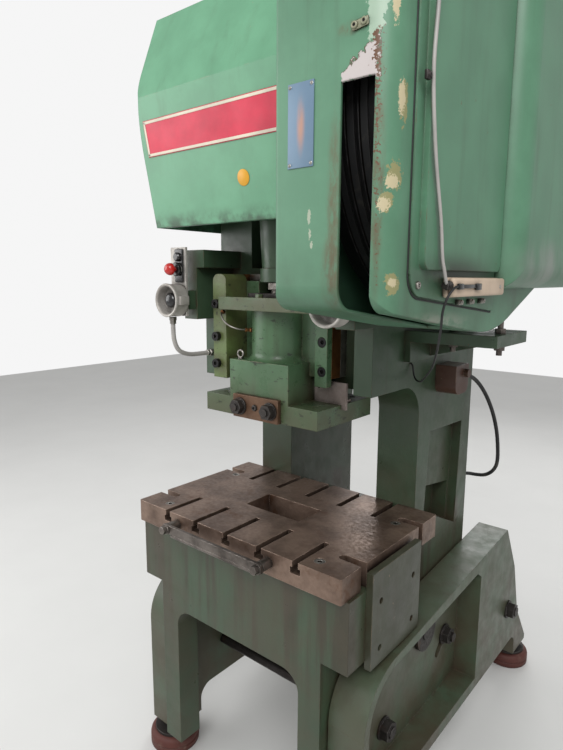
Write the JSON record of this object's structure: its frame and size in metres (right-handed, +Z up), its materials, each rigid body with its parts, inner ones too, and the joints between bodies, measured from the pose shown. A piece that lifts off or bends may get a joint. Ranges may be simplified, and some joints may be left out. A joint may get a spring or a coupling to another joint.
{
  "type": "mechanical stamping press",
  "caption": "Open-back inclinable gap-frame power press with bolster, guided ram, crank, guarded flywheel, palm buttons and legs on rubber isolators.",
  "frame": {"origin": "on the floor, at the centre of the four isolator pads", "axes": "+Z up, -Y towards the operator at the front, +X towards the flywheel side"},
  "size_m": [1.178, 1.7028, 2.485],
  "materials": {
    "bare_steel": "bare worn steel",
    "black_plastic": "glossy black",
    "black_rubber": "black rubber",
    "black_steel": "black oxide",
    "box_brown": "brown paint",
    "bronze": "bearing bronze",
    "brown_steel": "machined plate gone brown",
    "cast_grey": "grey white cast metal",
    "dark_steel": "dark oily steel",
    "frame_green": "oily dark green paint over cast iron",
    "grey_plastic": "grey sheath",
    "guard_green": "mint green paint with scuffs",
    "pad_rubber": "red brown rubber",
    "red_plastic": "glossy red",
    "rust_steel": "rust brown casting",
    "strap_green": "yellow green paint",
    "tan_plastic": "tan moulding"
  },
  "bodies": {
    "base": {"leg_left": "frame_green", "leg_right": "frame_green", "rear_beam": "frame_green", "tie_rods": "dark_steel", "isolator_pads": "pad_rubber", "isolator_studs": "dark_steel", "trunnion_pins": "dark_steel"},
    "press_frame": {"frame": "frame_green", "tilt_lock_bolts": "dark_steel", "bolster": "brown_steel", "bolster_screws": "bare_steel", "bed_side_plate": "dark_steel", "front_bar": "dark_steel", "front_bar_bolts": "bare_steel", "gib_left": "strap_green", "gib_right": "frame_green", "gib_liners": "bronze", "way_plates": "bare_steel", "gib_screws": "black_steel", "tie_bar": "frame_green", "main_bushes": "bronze", "bearing_caps": "frame_green", "cap_bolts": "dark_steel", "crank_cover": "guard_green", "flywheel_guard": "guard_green", "guard_panel": "guard_green", "belt_cover": "guard_green", "guard_stay": "frame_green", "stay_rods": "bare_steel", "motor": "dark_steel", "motor_bracket": "frame_green", "belts": "black_rubber", "button_housings": "cast_grey", "button_brackets": "frame_green", "stop_plate": "cast_grey", "conduit": "grey_plastic", "valve_box": "box_brown", "air_hose": "black_rubber", "junction_box": "tan_plastic", "guard_cable": "grey_plastic", "signal_cord": "black_rubber"},
    "slide": {"ram": "frame_green", "clamp_cap": "rust_steel", "clamp_studs": "dark_steel", "side_bracket": "bare_steel", "lifting_eye": "bare_steel", "ball_seat": "bronze", "ball_ring": "dark_steel"},
    "crank": {"crankshaft": "bare_steel", "clutch_unit": "dark_steel"},
    "connecting_rod": {"pitman": "frame_green", "pitman_cap": "frame_green", "pitman_bush": "bronze", "pitman_bolts": "dark_steel", "adjusting_screw": "bare_steel"},
    "flywheel_body": {"flywheel": "dark_steel"},
    "motor_rotor": {"motor_pulley": "dark_steel"},
    "palm_left": {"palm_button_left": "black_plastic"},
    "palm_right": {"palm_button_right": "black_plastic"},
    "stop": {"stop_button": "red_plastic"}
  },
  "joints": [
    {"name": "frame_tilt", "type": "hinge", "parent": "base", "child": "press_frame", "pos_m": [0, -0.19, 0.535], "axis": [-1, 0, 0], "range_deg": [0, 20]},
    {"name": "crank_turn", "type": "hinge", "parent": "press_frame", "child": "crank", "pos_m": [0, -0.507, 2.03], "axis": [-1, 0, 0], "range_deg": [0, 180]},
    {"name": "ram_slide", "type": "slide", "parent": "press_frame", "child": "slide", "axis": [0, 0, -1], "range_m": [0, 0.0762]},
    {"name": "rod_swing", "type": "hinge", "parent": "crank", "child": "connecting_rod", "pos_m": [0, -0.507, 2.0681], "axis": [-1, 0, 0], "range_deg": [-180, 0]},
    {"name": "flywheel_spin", "type": "hinge", "parent": "press_frame", "child": "flywheel_body", "pos_m": [0.515, -0.507, 2.03], "axis": [-1, 0, 0], "continuous": true},
    {"name": "motor_spin", "type": "hinge", "parent": "press_frame", "child": "motor_rotor", "pos_m": [0.515, 0.345, 2], "axis": [-1, 0, 0], "continuous": true},
    {"name": "palm_left_press", "type": "slide", "parent": "press_frame", "child": "palm_left", "axis": [0, 1, 0], "range_m": [0, 0.006], "stiffness_N_per_m": 800, "springref_m": -0.006},
    {"name": "palm_right_press", "type": "slide", "parent": "press_frame", "child": "palm_right", "axis": [0, 1, 0], "range_m": [0, 0.006], "stiffness_N_per_m": 800, "springref_m": -0.006},
    {"name": "stop_press", "type": "slide", "parent": "press_frame", "child": "stop", "axis": [0, 1, 0], "range_m": [0, 0.005], "stiffness_N_per_m": 800, "springref_m": -0.005}
  ],
  "couplings": [
    {"joint": "ram_slide", "follows": "crank_turn", "m_per_rad": 0.024255},
    {"joint": "rod_swing", "follows": "crank_turn", "ratio": -1},
    {"joint": "motor_spin", "follows": "flywheel_spin", "ratio": 4.7572}
  ]
}
